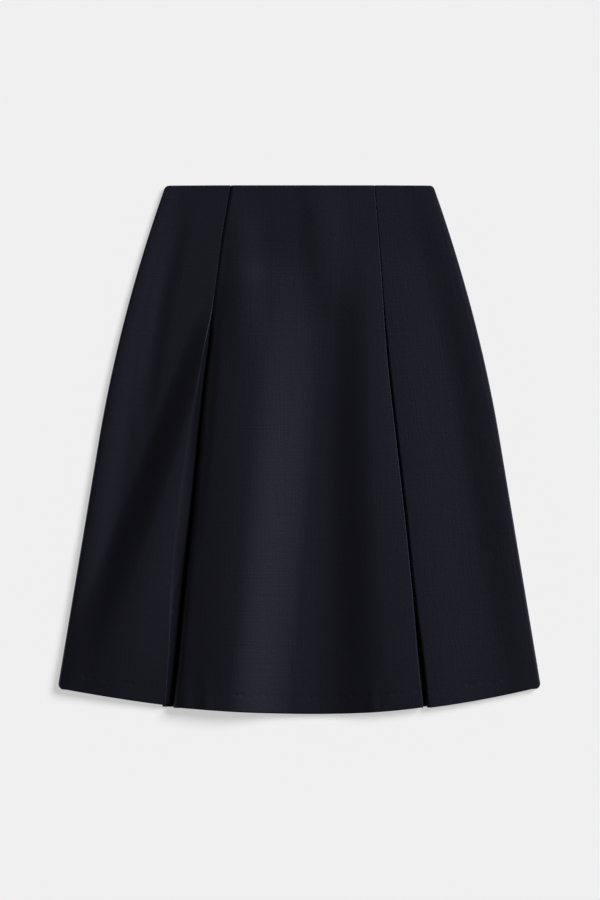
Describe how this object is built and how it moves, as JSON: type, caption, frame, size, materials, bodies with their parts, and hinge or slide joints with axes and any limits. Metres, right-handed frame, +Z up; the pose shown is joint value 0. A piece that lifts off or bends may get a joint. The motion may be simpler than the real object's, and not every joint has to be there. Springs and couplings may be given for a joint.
{
  "type": "wool skirt",
  "caption": "Knee-length A-line wool skirt with inverted front pleats and a plain turned waist, laid flat on its back.",
  "frame": {"origin": "centre of the bounding box, on the surface that the skirt lies on", "axes": "+Z up from that surface, +Y from the hem to the waist, +X to the right as seen from above, which is the wearer's left"},
  "size_m": [0.6127, 0.6718, 0.0235],
  "materials": {
    "wool": "fine dark navy wool twill, brushed, with a soft sheen",
    "zip": "navy woven tape and nylon coil"
  },
  "bodies": {
    "root": {"front_left": "wool", "front_centre": "wool", "front_right": "wool", "underlay_left": "wool", "underlay_right": "wool", "back_left": "wool", "back_right": "wool", "back_zip": "zip"}
  },
  "joints": []
}
